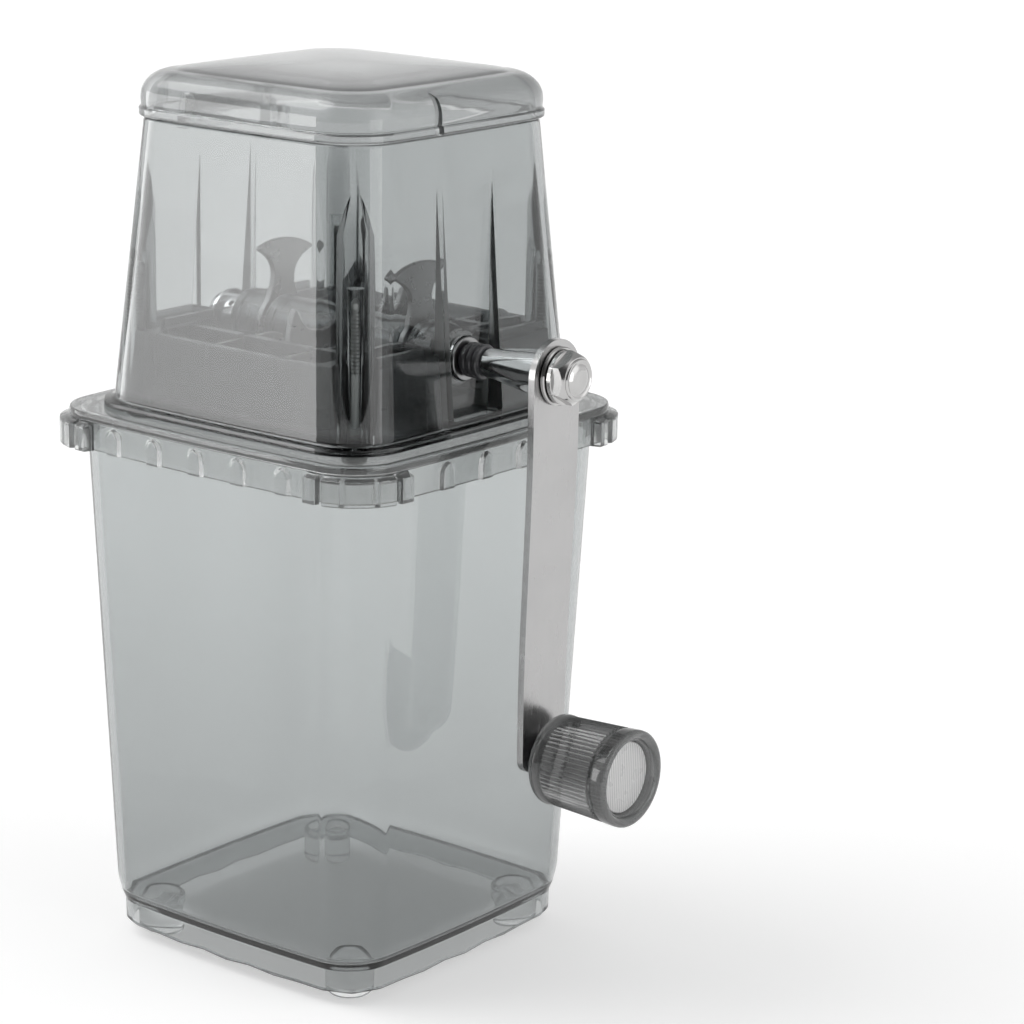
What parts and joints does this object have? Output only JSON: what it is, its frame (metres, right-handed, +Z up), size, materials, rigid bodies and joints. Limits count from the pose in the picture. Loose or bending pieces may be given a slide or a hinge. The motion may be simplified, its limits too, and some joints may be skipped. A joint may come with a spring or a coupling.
{
  "type": "hand-crank ice crusher",
  "caption": "Clear smoke-grey hand-crank ice crusher: tapered container, collar, tapered hopper with hinged lid, steel-bladed rotor on a shaft, flat crank arm with a ribbed knob.",
  "frame": {"origin": "centre of the whole object's bounding box at the bottom of the feet; the upright axis of the body is 22 mm toward -X of it, because the crank sticks out on +X", "axes": "+Z is up, +X points out of the wall the crank is on, along the shaft; the lid hinge is on the -X wall and its pin runs along Y; the crank hangs straight down"},
  "size_m": [0.1649, 0.1214, 0.25],
  "materials": {
    "smoke_clear": "clear smoke-grey moulded plastic, glossy",
    "smoke_dark": "darker smoke-grey moulded plastic, glossy",
    "knob_smoke": "smoke-grey ribbed plastic, glossy",
    "knob_disc": "pale ribbed plastic disc",
    "nylon_dark": "dark nylon, satin",
    "chrome_plate": "bright plated steel",
    "blade_steel": "stamped stainless steel",
    "screw_zinc": "zinc plated",
    "foot_rubber": "dull soft grey"
  },
  "bodies": {
    "container": {"ice_container": "smoke_clear", "foot_front_left": "foot_rubber", "foot_front_right": "foot_rubber", "foot_back_right": "foot_rubber", "foot_back_left": "foot_rubber"},
    "head": {"collar_frame": "smoke_clear", "hopper_shell": "smoke_clear", "grinding_insert": "smoke_dark", "fixed_blade_1": "blade_steel", "fixed_blade_2": "blade_steel", "fixed_blade_3": "blade_steel", "fixed_blade_4": "blade_steel", "post_screw_front_left": "screw_zinc", "post_screw_front_right": "screw_zinc", "post_screw_back_right": "screw_zinc", "post_screw_back_left": "screw_zinc", "idle_bush": "chrome_plate", "drive_bush": "chrome_plate", "hinge_pin": "blade_steel"},
    "lid": {"lid_shell": "smoke_clear"},
    "rotor": {"drive_shaft": "blade_steel", "retaining_clip": "blade_steel", "rotor_blade_1": "blade_steel", "rotor_blade_2": "blade_steel", "rotor_blade_3": "blade_steel", "drum_spacer_1": "smoke_dark", "drum_spacer_2": "smoke_dark", "drum_spacer_3": "smoke_dark", "drum_spacer_4": "smoke_dark", "crank_sleeve": "chrome_plate", "crank_arm": "chrome_plate", "nut_washer": "chrome_plate", "dome_nut": "chrome_plate", "knob_pin": "blade_steel", "knob_washer": "nylon_dark"},
    "knob": {"knob_grip": "knob_smoke", "knob_cap": "knob_disc"}
  },
  "joints": [
    {"name": "head_lift", "type": "slide", "parent": "container", "child": "head", "axis": [0, 0, 1], "range_m": [0, 0.09]},
    {"name": "lid_open", "type": "hinge", "parent": "head", "child": "lid", "pos_m": [-0.065, 0, 0.237], "axis": [0, -1, 0], "range_deg": [0, 110]},
    {"name": "crank_turn", "type": "hinge", "parent": "head", "child": "rotor", "pos_m": [-0.022, 0, 0.1745], "axis": [1, 0, 0], "continuous": true},
    {"name": "knob_spin", "type": "hinge", "parent": "rotor", "child": "knob", "pos_m": [0.068, 0, 0.0685], "axis": [1, 0, 0], "continuous": true}
  ]
}
